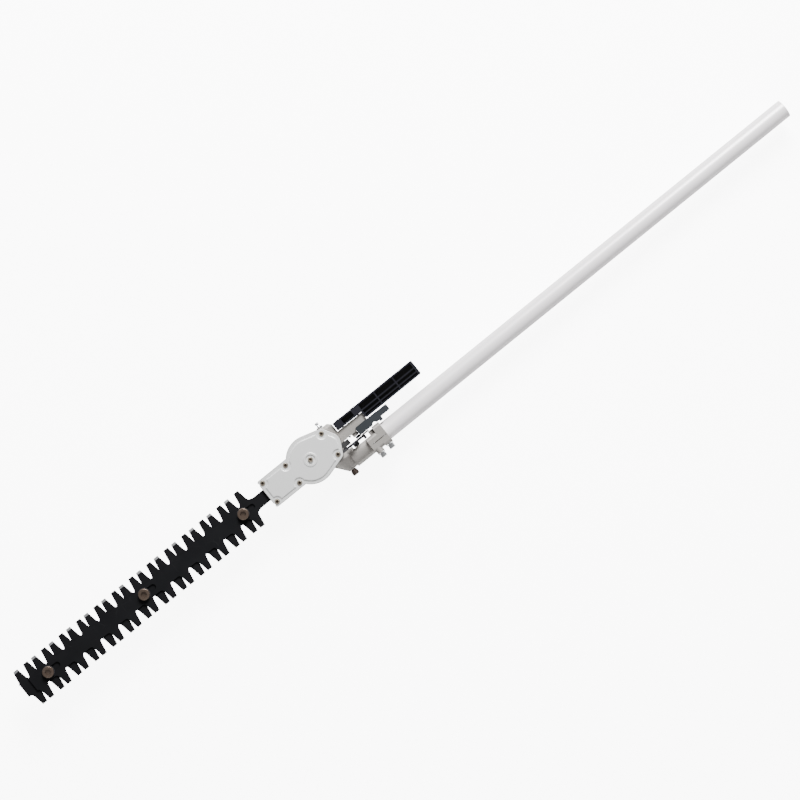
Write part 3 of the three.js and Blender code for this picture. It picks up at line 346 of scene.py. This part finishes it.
def addTo(piece, *others):
    return combine(piece, others, "UNION")


def turnedPiece(profile, x, y, z, axis, vertices=48):
    # extruded ring by ring along its own axis; profile holds (radius, distance) pairs
    first = profile[0]
    bpy.ops.mesh.primitive_circle_add(vertices=vertices, radius=first[0] * mm, fill_type="NGON",
                                      location=(0, 0, first[1] * mm))
    piece = bpy.context.object
    bpy.ops.object.mode_set(mode="EDIT")
    bpy.ops.mesh.select_all(action="SELECT")
    before = first
    for radius, distance in profile[1:]:
        step = max(distance - before[1], 1e-4) * mm
        bpy.ops.mesh.extrude_region_move(TRANSFORM_OT_translate={"value": (0, 0, step)})
        share = radius / before[0]
        bpy.ops.transform.resize(value=(share, share, 1), center_override=(0, 0, distance * mm))
        before = (radius, distance)
    bpy.ops.mesh.select_all(action="SELECT")
    bpy.ops.mesh.normals_make_consistent(inside=False)
    bpy.ops.object.mode_set(mode="OBJECT")
    turn = {"Z": (0, 0, 0), "Y": (-math.pi / 2, 0, 0), "X": (0, math.pi / 2, 0),
            "-Y": (math.pi / 2, 0, 0), "-Z": (math.pi, 0, 0)}[axis]
    piece.rotation_euler = turn
    piece.location = at(x, y, z)
    return settle(piece)


def workedCopy(node, angle=1.5):
    # a merged copy of a frame node with its flat faces joined up again
    original = nodes[node]
    piece = bpy.data.objects.new(node + "Work", original.data.copy())
    bpy.context.scene.collection.objects.link(piece)
    onlySelect(piece)
    bpy.ops.object.mode_set(mode="EDIT")
    bpy.ops.mesh.select_all(action="SELECT")
    bpy.ops.mesh.remove_doubles(threshold=0.00001)
    bpy.ops.mesh.dissolve_limited(angle_limit=math.radians(angle))
    bpy.ops.object.mode_set(mode="OBJECT")
    return piece


def selectFaces(piece, wanted):
    onlySelect(piece)
    bpy.ops.object.mode_set(mode="EDIT")
    bpy.ops.mesh.select_all(action="DESELECT")
    bpy.ops.object.mode_set(mode="OBJECT")
    for face in piece.data.polygons:
        face.select = wanted(face)


def bevelTop(piece, width, segments):
    # rounds only the outline of the upward faces
    selectFaces(piece, lambda face: face.normal.z > 0.9)
    bpy.ops.object.mode_set(mode="EDIT")
    bpy.ops.mesh.select_mode(type="FACE")
    bpy.ops.mesh.dissolve_limited(angle_limit=math.radians(0.5))
    bpy.ops.mesh.region_to_loop()
    bpy.ops.mesh.bevel(offset=width * mm, segments=segments, affect="EDGES", clamp_overlap=False)
    bpy.ops.object.mode_set(mode="OBJECT")
    return piece


# the long tube
tubeValues = dict(outer=13, wall=1.8, edge=0.35, sides=128)


def makeTube():
    low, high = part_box("shaft_tube")
    x0, x1 = (low.x - tiltX) / mm, (high.x - tiltX) / mm
    piece = drum(tubeValues["outer"], x0, x1, tubeY, 0, tubeValues["sides"], "X")
    boreRadius = tubeValues["outer"] - tubeValues["wall"]
    cutOut(piece, drum(boreRadius, x0 - 5, x1 + 5, tubeY, 0, tubeValues["sides"], "X"))
    roundEdges(piece, tubeValues["edge"], 3, 60)
    smooth(piece, 35)
    return dress(piece, "longTube", "tube_side", "paleTube", "white_tube", "shaft_tube")


# the gear cover, with its raised panel, screw seats and centre boss
coverValues = dict(
    neckFrom=-111.4, neckHalf=21.8, neckCorner=3.2, drumRadius=33.5, shoulderX=-2.3, shoulderY=17.4,
    shoulderRadius=7.6, nose=13.6, rim=3.6, panelRise=2.0, panelInset=5.2, rimEdge=1.1, panelSlope=1.7,
    bossRadius=9.7, bossRecess=6.9, bossRise=2.9, screwClear=7.0, seatRadius=3.7, seatDepth=1.3,
    upFacing=0.93, seatMargin=0.2)
coverScrews = [(-105.7, 15.7), (-66.6, 15.1), (-2.3, 17.9), (-105.7, -15.7), (-66.6, -15.1), (-2.3, -17.9)]


def caseShape(inset, z0, z1):
    v = coverValues
    lobe = joinPieces([
        drum(v["drumRadius"] - inset, z0, z1, crankX, 0, 160),
        drum(v["shoulderRadius"] - inset, z0, z1, v["shoulderX"], v["shoulderY"], 96),
        drum(v["shoulderRadius"] - inset, z0, z1, v["shoulderX"], -v["shoulderY"], 96),
        drum(v["nose"] - inset, z0, z1, 0, 0, 96)])
    bpy.ops.object.mode_set(mode="EDIT")
    bpy.ops.mesh.select_all(action="SELECT")
    bpy.ops.mesh.convex_hull(delete_unused=True, use_existing_faces=False, make_holes=False,
                             join_triangles=True)
    bpy.ops.mesh.select_all(action="SELECT")
    bpy.ops.mesh.dissolve_limited(angle_limit=math.radians(0.5))
    bpy.ops.object.mode_set(mode="OBJECT")
    half = v["neckHalf"] - inset
    neck = block(v["neckFrom"] + inset, crankX, -half, half, z0, z1)
    onlySelect(neck)
    bpy.ops.object.mode_set(mode="EDIT")
    bpy.ops.mesh.select_mode(type="EDGE")
    bpy.ops.mesh.select_all(action="DESELECT")
    bpy.ops.object.mode_set(mode="OBJECT")
    for edge in neck.data.edges:
        ends = [neck.data.vertices[i].co for i in edge.vertices]
        upright = abs(ends[0].z - ends[1].z) > 0.5 * (z1 - z0) * mm
        edge.select = upright and min(end.x for end in ends) < at(-90, 0, 0).x
    bpy.ops.object.mode_set(mode="EDIT")
    bpy.ops.mesh.bevel(offset=max(v["neckCorner"] - inset / 2, 0.8) * mm, segments=6, affect="EDGES")
    bpy.ops.object.mode_set(mode="OBJECT")
    return addTo(lobe, neck)


def makeCover():
    v = coverValues
    bottom = heightOf("head_cover", False)
    rimTop = bottom + v["rim"]
    panelTop = rimTop + v["panelRise"]
    rim = bevelTop(caseShape(0, bottom, rimTop), v["rimEdge"], 4)
    panel = caseShape(v["panelInset"], rimTop - 0.6, panelTop)
    cutOut(panel, *[drum(v["screwClear"], 0, 60, x, y, 48) for x, y in coverScrews])
    bevelTop(panel, v["panelSlope"], 2)
    boss = drum(v["bossRadius"], rimTop, rimTop + v["bossRise"], crankX, 0, 96)
    bevelTop(boss, 0.9, 4)
    addTo(rim, panel, boss)
    recess = drum(v["bossRecess"], rimTop + 1.4, 60, crankX, 0, 96)
    holes = [drum(2.2, 0, 60, x, y, 32) for x, y in coverScrews]
    seats = [drum(v["seatRadius"], rimTop - v["seatDepth"], 60, x, y, 48) for x, y in coverScrews]
    notches = [block(v["neckFrom"] - 3, v["neckFrom"] + 1.2, *span, 0, 60)
               for span in ((15.2, 18.4), (-18.4, -15.2))]
    cutOut(rim, recess, *holes, *seats, *notches,
           drum(2.3, 0, 60, crankX, 0, 32), drum(6.9, 0, rimTop + 0.4, 0, 0, 48))
    smooth(rim, 30)
    dress(rim, "gearCover", "head", ["satinCover", "rimPaintedShade", "plugBrown"], "cover", "head_cover")
    rimLevel, seatLevel = at(0, 0, rimTop + 0.02).z, at(0, 0, rimTop - 0.2).z
    # painted shade: the rim's sides and outer bevel get the dark finish, standing in for the shade along the
    # cover's outline
    paintWhere(rim, 1, lambda face: face.normal.z < v["upFacing"] and face.center.z < rimLevel)
    # painted shade: the walls and floors of the screw seats get the dark brown finish
    seatCentres = [at(x, y, 0) for x, y in coverScrews]
    inSeat = (v["seatRadius"] + v["seatMargin"]) * mm
    return paintWhere(rim, 2, lambda face: face.center.z < seatLevel and min(
        math.hypot(face.center.x - c.x, face.center.y - c.y) for c in seatCentres) < inSeat)


# fasteners
def socketHead(profile, x, y, z, axis, socketRadius, socketFrom, socketTo):
    piece = turnedPiece(profile, x, y, z, axis)
    sign = -1 if axis.startswith("-") else 1
    low, high = sorted((sign * socketFrom, sign * socketTo))
    if axis.endswith("Y"):
        key = drum(socketRadius, y + low, y + high, x, z, 6, "Y")
    else:
        key = drum(socketRadius, z + low, z + high, x, y, 6, "Z")
    cutOut(piece, key)
    return smooth(piece, 30)


coverScrewValues = dict(head=3.3, headHigh=2.4, edge=0.5, shank=1.9, socket=2.05, socketDeep=1.9)


def makeCoverScrews():
    v = coverScrewValues
    for index, (x, y) in enumerate(coverScrews):
        node = f"cover_screw_{index + 1}"
        bottom, top = heightOf(node, False), heightOf(node)
        seat = top - v["headHigh"]
        profile = [(v["shank"] - 0.4, 0), (v["shank"], 0.5), (v["shank"], seat - bottom),
                   (v["head"], seat - bottom + 0.01), (v["head"], top - bottom - v["edge"]),
                   (v["head"] - v["edge"] * 0.4, top - bottom - v["edge"] * 0.3),
                   (v["head"] - v["edge"], top - bottom)]
        piece = socketHead(profile, x, y, bottom, "Z", v["socket"], top - bottom - v["socketDeep"],
                           top - bottom + 3)
        dress(piece, f"coverScrew{index + 1}", "head", ["creamPlate", "plugBrown"], "bronze", node)
        # painted shade inside each screw's key socket
        paintSocketShade(piece, x, y, v["socket"], top)


bladeBoltValues = dict(head=7.9, edge=0.8, collar=4.0, shank=2.6, socket=4.4, socketDeep=3.2)


def makeBladeBolts():
    v = bladeBoltValues
    for index in range(3):
        node = f"blade_bolt_{index + 1}"
        low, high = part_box(node)
        x = ((low.x + high.x) / 2 - tiltX) / mm
        bottom, top = heightOf(node, False), heightOf(node)
        length = top - bottom
        headFrom = length - 4.2
        profile = [(v["shank"] - 0.5, 0), (v["shank"], 0.6), (v["shank"], headFrom - 6.5),
                   (v["collar"], headFrom - 6.49), (v["collar"], headFrom), (v["head"], headFrom + 0.01),
                   (v["head"], length - v["edge"]), (v["head"] - 0.25, length - v["edge"] * 0.35),
                   (v["head"] - v["edge"], length), (v["socket"] + 1.6, length)]
        piece = socketHead(profile, x, 0, bottom, "Z", v["socket"], length - v["socketDeep"], length + 3)
        dress(piece, f"bladeBolt{index + 1}", "head", "bronzePlate", "bronze", node)


pinchValues = dict(head=4.2, headHigh=5.6, edge=0.5, washer=5.0, washerHigh=1.3, shank=2.5,
                   socket=2.35, deep=2.8)


def makeClampBolts():
    v = pinchValues
    for node, name in (("clamp_bolt_inner", "clampBoltInner"), ("clamp_bolt_outer", "clampBoltOuter")):
        low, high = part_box(node)
        x = ((low.x + high.x) / 2 - tiltX) / mm
        z = ((low.z + high.z) / 2 - axisZ) / mm
        y0, y1 = (low.y - bladeY) / mm, (high.y - bladeY) / mm
        length = y1 - y0
        a = v["headHigh"]
        b = a + v["washerHigh"]
        profile = [(v["head"] - v["edge"], 0), (v["head"] - 0.15, v["edge"] * 0.5), (v["head"], v["edge"]),
                   (v["head"], a - 0.9), (v["head"] - 0.5, a - 0.6), (v["head"] - 0.5, a),
                   (v["washer"], a + 0.01), (v["washer"], b), (v["shank"], b + 0.01),
                   (v["shank"], length - 0.6), (v["shank"] - 0.5, length)]
        piece = turnedPiece(profile, x, y0, z, "Y")
        cutOut(piece, drum(v["socket"], y0 - 3, y0 + v["deep"], x, z, 6, "Y"))
        smooth(piece, 30)
        dress(piece, name, "tube_side", "brightZinc", "zinc", node)


nippleValues = dict(hexRadius=5.2, hexHigh=2.9)


def makeNipple():
    low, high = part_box("grease_nipple")
    y0, y1 = (low.y - bladeY) / mm, (high.y - bladeY) / mm
    hexFrom = y1 - 9.9
    hexagon = drum(nippleValues["hexRadius"], hexFrom, hexFrom + nippleValues["hexHigh"], 0, 0, 6, "Y")
    roundEdges(hexagon, 0.3, 2, 20)
    stem = turnedPiece([(2.2, 0), (2.6, 0.4), (2.6, hexFrom - y0 + 2.8), (2.7, hexFrom - y0 + 3.0),
                        (1.7, hexFrom - y0 + 5.4), (1.75, hexFrom - y0 + 6.0), (2.9, hexFrom - y0 + 7.4),
                        (2.7, hexFrom - y0 + 8.9), (2.1, hexFrom - y0 + 9.6), (1.3, y1 - y0)],
                       0, y0, 0, "Y", 40)
    addTo(stem, hexagon)
    smooth(stem, 30)
    return dress(stem, "greaseNipple", "head", "brightZinc", "zinc", "grease_nipple")


# copies of frame nodes that get rounded edges: node, name, body, finish, slot, edge, segments
roundedNodes = [
    ("head_case", "gearCase", "head", "castGrey", "cast_case", 0.45, 2),
    ("shaft_case", "tubeSocket", "tube_side", "castGrey", "cast_case", 0.45, 2),
    ("index_plate", "notchedPlate", "tube_side", "blackSteel", "black_steel", 0.3, 2),
    ("handle", "gripHandle", "head", "glossBlack", "handle_plastic", 0.45, 3),
    ("latch", "latchSlide", "latch", "slatePlastic", "latch_plastic", 0.9, 4),
    ("latch_pawl", "latchTooth", "latch", "blackSteel", "black_steel", 0.3, 2),
    ("pivot_boot", "pivotBoot", "head", "softRubber", "rubber", 0.6, 3),
    ("pivot_clip", "pivotClip", "head", "blackSteel", "black_steel", 0.2, 2),
    ("case_plug", "casePlug", "tube_side", "plugBrown", "plug", 0.3, 2),
    ("index_plate_bolt_1", "plateBolt1", "tube_side", "blackSteel", "black_steel", 0.3, 2),
    ("index_plate_bolt_2", "plateBolt2", "tube_side", "blackSteel", "black_steel", 0.3, 2),
    ("guide_bar", "guideBar", "head", "blackSteel", "black_steel", 0.3, 2),
    ("handle_screw_1", "handleScrew1", "head", "brightZinc", "zinc", 0.3, 2),
    ("handle_screw_2", "handleScrew2", "head", "brightZinc", "zinc", 0.3, 2),
    ("spring_pin", "springPin", "head", "bareSteel", "steel", 0.3, 2),
    ("blade_washer_1", "bladeWasher1", "head", "blackSteel", "black_steel", 0.25, 2),
    ("blade_washer_2", "bladeWasher2", "head", "blackSteel", "black_steel", 0.25, 2),
    ("blade_washer_3", "bladeWasher3", "head", "blackSteel", "black_steel", 0.25, 2),
    ("blade_nut_1", "bladeNut1", "head", "brightZinc", "zinc", 0.4, 2),
    ("blade_nut_2", "bladeNut2", "head", "brightZinc", "zinc", 0.4, 2),
    ("blade_nut_3", "bladeNut3", "head", "brightZinc", "zinc", 0.4, 2),
    ("crank_screw", "crankScrew", "head", "creamPlate", "bronze", 0.3, 2),
    ("guide_screw_1", "guideScrew1", "head", "blackSteel", "black_steel", 0.3, 2),
    ("cover_gasket", "coverGasket", "head", "greyGasket", "gasket", 0.0, 0),
    ("lower_rod", "lowerRod", "lower_blade", "bareSteel", "steel", 0.2, 2),
]


crankScrewSocket = 1.82


def makeRoundedNodes():
    for node, name, body, finish, slotName, edge, segments in roundedNodes:
        piece = workedCopy(node)
        if edge:
            roundEdges(piece, edge, segments, 32)
        smooth(piece, 30)
        dress(piece, name, body, finish, slotName, node)
        if node == "crank_screw":
            # the crank screw's key socket gets painted shade
            piece.data.materials.append(materials["plugBrown"])
            paintSocketShade(piece, crankX, 0, crankScrewSocket, heightOf(node))


# the two blades, with ground ends on the lower one
bladeValues = dict(tipY=29.45, grind=3.5, grindDeep=1.9, edge=0.22)


def makeBlades():
    v = bladeValues
    for node, name in (("upper_blade", "upperBlade"), ("lower_blade", "lowerBlade")):
        piece = workedCopy(node)
        if node == "lower_blade":
            top = heightOf(node)
            wedge = block(-560, -120, -2, 2, -2, 2)
            lean = math.atan2(v["grindDeep"], v["grind"])
            centre = at(-340, v["tipY"] - v["grind"] / 2, top - v["grindDeep"] / 2)
            lift = Matrix.Translation(Vector((0, 0, 2 * mm)))
            wedge.data.transform(Matrix.Translation(-at(-340, 0, 0)))
            wedge.data.transform(Matrix.Translation(centre) @ Matrix.Rotation(-lean, 4, "X") @ lift)
            cutOut(piece, wedge)
        roundEdges(piece, v["edge"], 2, 32)
        smooth(piece, 30)
        finish = ["bladeBlack", "groundEdge"]
        dress(piece, name, node, finish, "blade", node)
        for face in piece.data.polygons:
            slanted = abs(face.normal.y) > 0.3 and 0.6 < face.normal.z < 0.97
            outside = abs(face.center.y - bladeY) > (v["tipY"] - v["grind"] - 0.3) * mm
            face.material_index = 1 if node == "lower_blade" and slanted and outside else 0


# the latch's coil spring
springValues = dict(wire=0.5, coilRadius=1.75, coils=9, low=27.4, high=46, y=-11)


def makeSpring():
    v = springValues
    bpy.ops.mesh.primitive_circle_add(vertices=12, radius=v["wire"] * mm, rotation=(0, math.pi / 2, 0),
                                      location=(0, v["coilRadius"] * mm, 0))
    piece = settle(bpy.context.object)
    onlySelect(piece)
    bpy.ops.object.mode_set(mode="EDIT")
    bpy.ops.mesh.select_all(action="SELECT")
    bpy.ops.transform.rotate(value=math.pi / 2, orient_axis="Y", center_override=(0, v["coilRadius"] * mm, 0))
    bpy.ops.object.mode_set(mode="OBJECT")
    pitch = (v["high"] - v["low"] - 2 * v["wire"]) / v["coils"]
    applyModifier(piece, "SCREW", axis="X", angle=2 * math.pi, screw_offset=pitch * mm, iterations=v["coils"],
                  steps=24, render_steps=24, use_merge_vertices=False)
    bpy.ops.object.mode_set(mode="EDIT")
    bpy.ops.mesh.select_all(action="DESELECT")
    bpy.ops.mesh.select_non_manifold()
    bpy.ops.mesh.edge_face_add()
    bpy.ops.mesh.select_all(action="SELECT")
    bpy.ops.mesh.normals_make_consistent(inside=False)
    bpy.ops.object.mode_set(mode="OBJECT")
    piece.location = at(v["low"] + v["wire"], v["y"], 0)
    settle(piece)
    smooth(piece, 50)
    return dress(piece, "latchSpring", "head", "bareSteel", "steel", "latch_spring")


makeTube()
print("tube made")
makeCover()
print("cover made")
makeCoverScrews()
makeBladeBolts()
makeClampBolts()
makeNipple()
print("fasteners made")
makeRoundedNodes()
print("cases, handle and latch made")
makeBlades()
print("blades made")
makeSpring()
print("spring made")

# the inner pieces keep the frame's shape and get their finish
steelNodes = [
    "drive_bearing", "drive_shaft", "drive_pinion", "pivot_shaft", "pivot_gear_lower", "pivot_gear_upper",
    "crank_axle", "idler_bearing", "pivot_bearing", "idler_shaft", "idler_bevel", "crank_gear",
    "rod_rivet_1", "rod_rivet_2",
]
innerFinish = {node: "bareSteel" for node in steelNodes}
innerFinish.update({f"shaft_bush_{index}": "softRubber" for index in (1, 2, 3)})
innerFinish["idler_bush"] = "bronzeBush"
for node, finish in innerFinish.items():
    inner = nodes[node]
    for place in range(max(len(inner.material_slots), 1)):
        if not inner.material_slots:
            inner.data.materials.append(materials[finish])
        inner.material_slots[place].material = materials[finish]
print("inner pieces finished")

# floor, light and camera
studio = dict(floorSize=60, keyPower=285, fillPower=12, room=0.24, floorGlow=0.25, floorSeen=8,
              aim=(-0.0049, -0.0007), distance=3.34, lens=111, turn=-39.0)


# each lamp's name, reach toward the top of the view, height, size and power
lamps = [
    ("keyLight", 2.3, 2.0, 1.4, studio["keyPower"]),
    ("fillLight", -1.8, 2.0, 2.0, studio["fillPower"]),
]


def makeStudio():
    bpy.ops.mesh.primitive_plane_add(size=studio["floorSize"], location=(0, 0, -0.0005))
    floor = bpy.context.object
    floor.name = "paleFloor"
    paint = bpy.data.materials.new("palePaper")
    paint.use_nodes = True
    shader = paint.node_tree.nodes["Principled BSDF"]
    shader.inputs["Base Color"].default_value = (0.93, 0.93, 0.93, 1)
    shader.inputs["Roughness"].default_value = 0.9
    shader.inputs["Emission Color"].default_value = (1, 1, 1, 1)
    rays = paint.node_tree.nodes.new("ShaderNodeLightPath")
    glow = paint.node_tree.nodes.new("ShaderNodeMapRange")
    glow.inputs["To Min"].default_value = studio["floorGlow"]
    glow.inputs["To Max"].default_value = studio["floorSeen"]
    paint.node_tree.links.new(rays.outputs["Is Camera Ray"], glow.inputs["Value"])
    paint.node_tree.links.new(glow.outputs["Result"], shader.inputs["Emission Strength"])
    floor.data.materials.append(paint)
    world = bpy.context.scene.world or bpy.data.worlds.new("softRoom")
    bpy.context.scene.world = world
    world.use_nodes = True
    world.node_tree.nodes["Background"].inputs["Color"].default_value = (1, 1, 1, 1)
    # the room lights the piece softly, and looks as pale as the floor behind it
    sight = world.node_tree.nodes.new("ShaderNodeLightPath")
    backdrop = world.node_tree.nodes.new("ShaderNodeMapRange")
    backdrop.inputs["To Min"].default_value = studio["room"]
    backdrop.inputs["To Max"].default_value = studio["floorSeen"]
    world.node_tree.links.new(sight.outputs["Is Camera Ray"], backdrop.inputs["Value"])
    brightness = world.node_tree.nodes["Background"].inputs["Strength"]
    world.node_tree.links.new(backdrop.outputs["Result"], brightness)
    upX, upY = math.sin(math.radians(-studio["turn"])), math.cos(math.radians(studio["turn"]))
    for name, reach, height, size, power in lamps:
        light = bpy.data.lights.new(name, "AREA")
        light.energy = power
        light.size = size
        lamp = bpy.data.objects.new(name, light)
        bpy.context.scene.collection.objects.link(lamp)
        lamp.location = (upX * reach, upY * reach, height)
        lamp.rotation_euler = (-Vector(lamp.location)).to_track_quat("-Z", "Y").to_euler()
    cameraData = bpy.data.cameras.new("camera")
    cameraData.lens = studio["lens"]
    cameraData.clip_end = 100
    camera = bpy.data.objects.new("camera", cameraData)
    bpy.context.scene.collection.objects.link(camera)
    camera.location = (*studio["aim"], studio["distance"] + axisZ)
    camera.rotation_euler = (0, 0, math.radians(studio["turn"]))
    bpy.context.scene.camera = camera


makeStudio()
